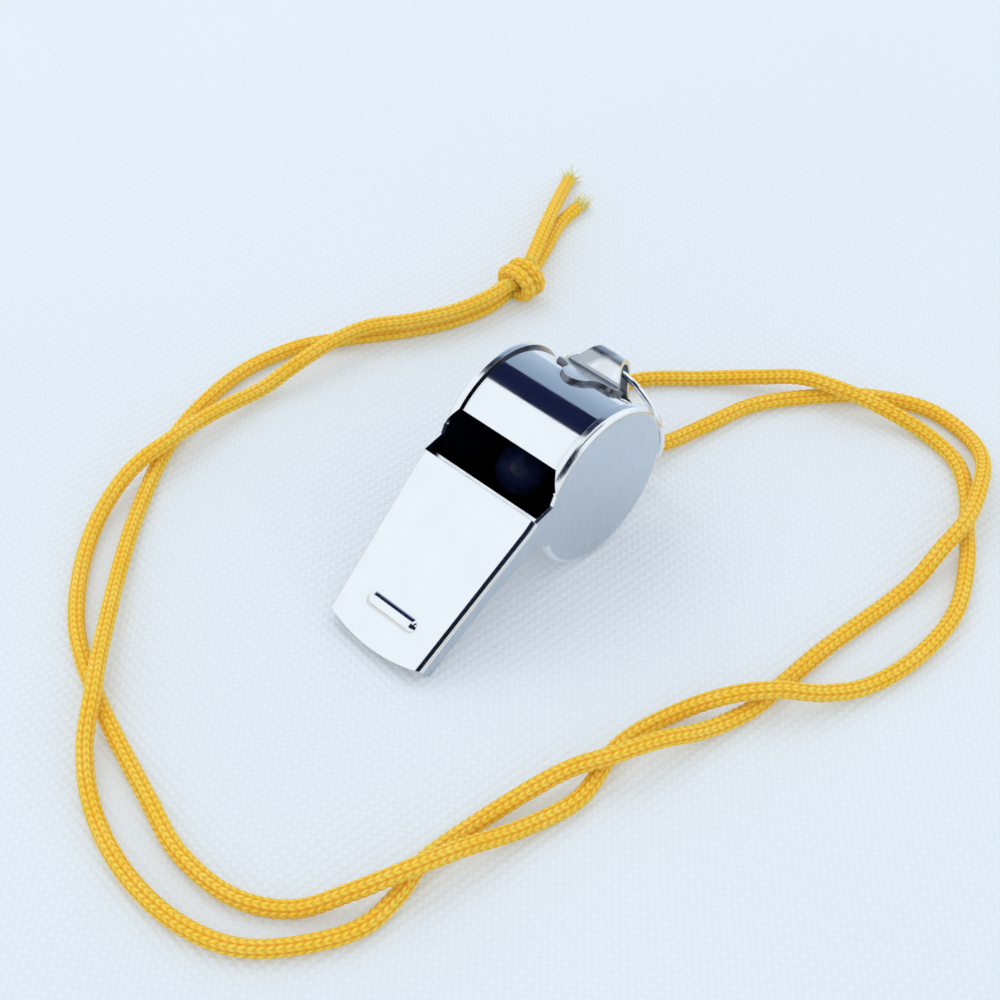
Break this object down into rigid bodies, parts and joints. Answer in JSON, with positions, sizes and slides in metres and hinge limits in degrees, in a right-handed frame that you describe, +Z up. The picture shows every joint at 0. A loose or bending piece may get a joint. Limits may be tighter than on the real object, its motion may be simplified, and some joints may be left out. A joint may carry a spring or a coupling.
{
  "type": "pea whistle",
  "caption": "Sheet metal pea whistle with a round chamber, tapering mouthpiece, strap bail and jump ring, on a knotted loop of knitted cord.",
  "frame": {"origin": "on the surface that the whistle lies on, under the middle of the whistle with its ring, cord left out", "axes": "+Z up, mouth towards -X, bail and ring towards +X, barrel axis along Y"},
  "size_m": [0.1367, 0.1064, 0.0235],
  "materials": {
    "plated_band": "bright nickel plate, smooth",
    "plated_side": "bright nickel plate, smooth",
    "plated_top": "bright nickel plate, smooth",
    "plated_inner": "nickel plate, slightly dull",
    "plated_bail": "bright nickel plate, smooth",
    "pea": "glossy dark navy",
    "ring_wire": "bright nickel plate, smooth",
    "cord": "golden yellow knitted round cord"
  },
  "bodies": {
    "whistle": {"chamber_band": "plated_band", "side_plate_near": "plated_side", "side_plate_far": "plated_side", "top_plate": "plated_top", "windway_floor": "plated_inner", "bail": "plated_bail"},
    "pea": {"pea": "pea"},
    "ring_and_cord": {"jump_ring": "ring_wire", "cord_a": "cord", "cord_b": "cord", "knot": "cord", "tail_a": "cord", "tail_b": "cord"}
  },
  "joints": [
    {"name": "pea_orbit", "type": "hinge", "parent": "whistle", "child": "pea", "pos_m": [0.01016, 0, 0.01175], "axis": [0, 1, 0], "continuous": true},
    {"name": "ring_swing", "type": "hinge", "parent": "whistle", "child": "ring_and_cord", "pos_m": [0.02209, 0, 0.01972], "axis": [0, -1, 0], "range_deg": [-3, 180]}
  ]
}
